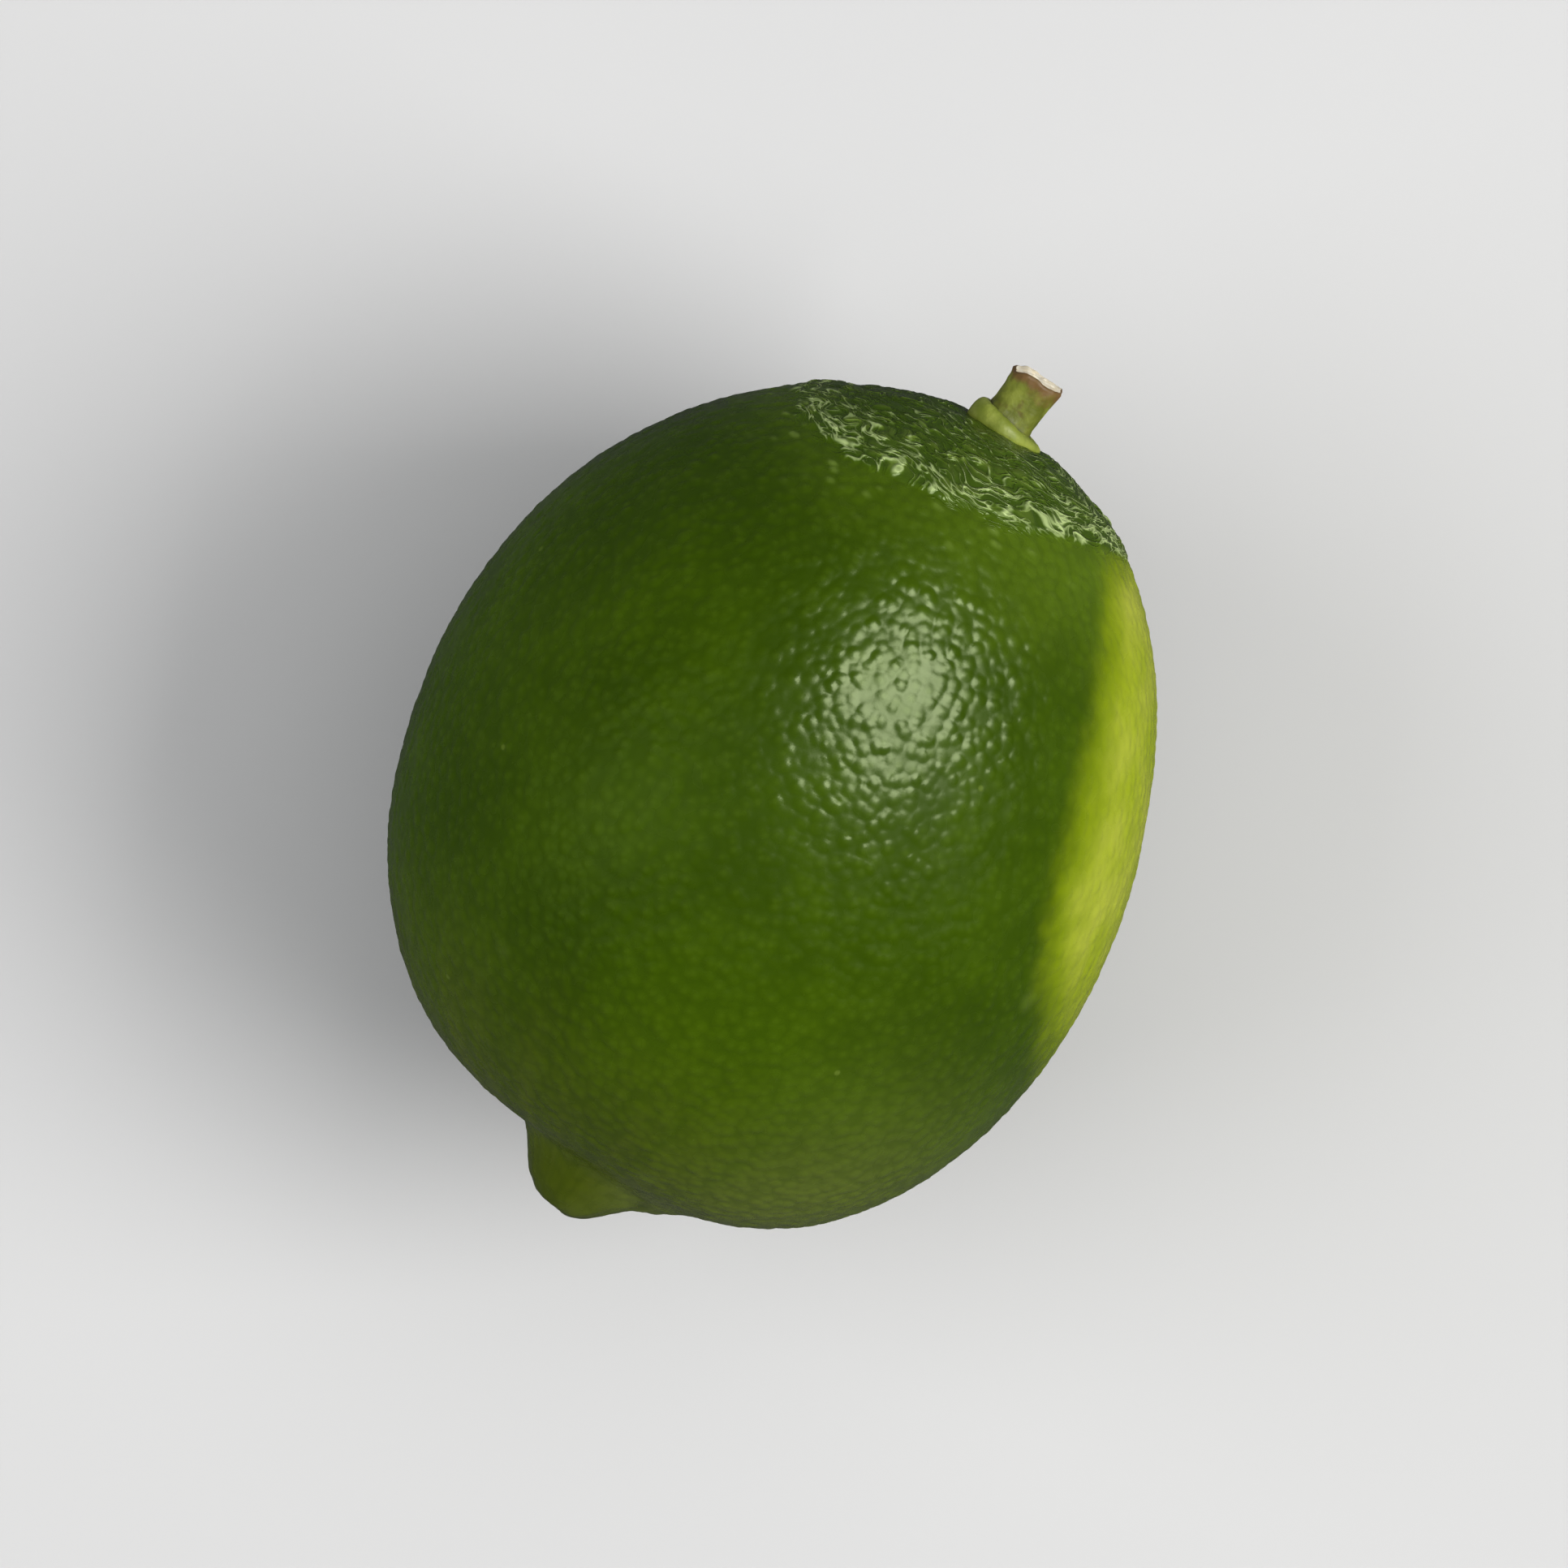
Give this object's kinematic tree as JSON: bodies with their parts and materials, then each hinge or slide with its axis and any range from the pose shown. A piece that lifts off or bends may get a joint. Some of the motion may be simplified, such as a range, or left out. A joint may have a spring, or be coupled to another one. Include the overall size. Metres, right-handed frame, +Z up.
{
  "type": "lime",
  "caption": "Whole lime lying on its side: an egg-shaped green fruit with a nipple at one end and a calyx with a cut stem stub at the other.",
  "frame": {"origin": "middle of the lime's box in plan, on the surface that it rests on", "axes": "+X from the nipple to the stem, +Z up, +Y completes a right-handed frame"},
  "size_m": [0.0738, 0.056, 0.0548],
  "materials": {
    "rind": "waxy, finely pebbled, semi-gloss",
    "calyx": "matte",
    "stem": "rough, green bark with a pale cut end"
  },
  "bodies": {
    "root": {"fruit": "rind", "calyx": "calyx", "stem": "stem"}
  },
  "joints": []
}
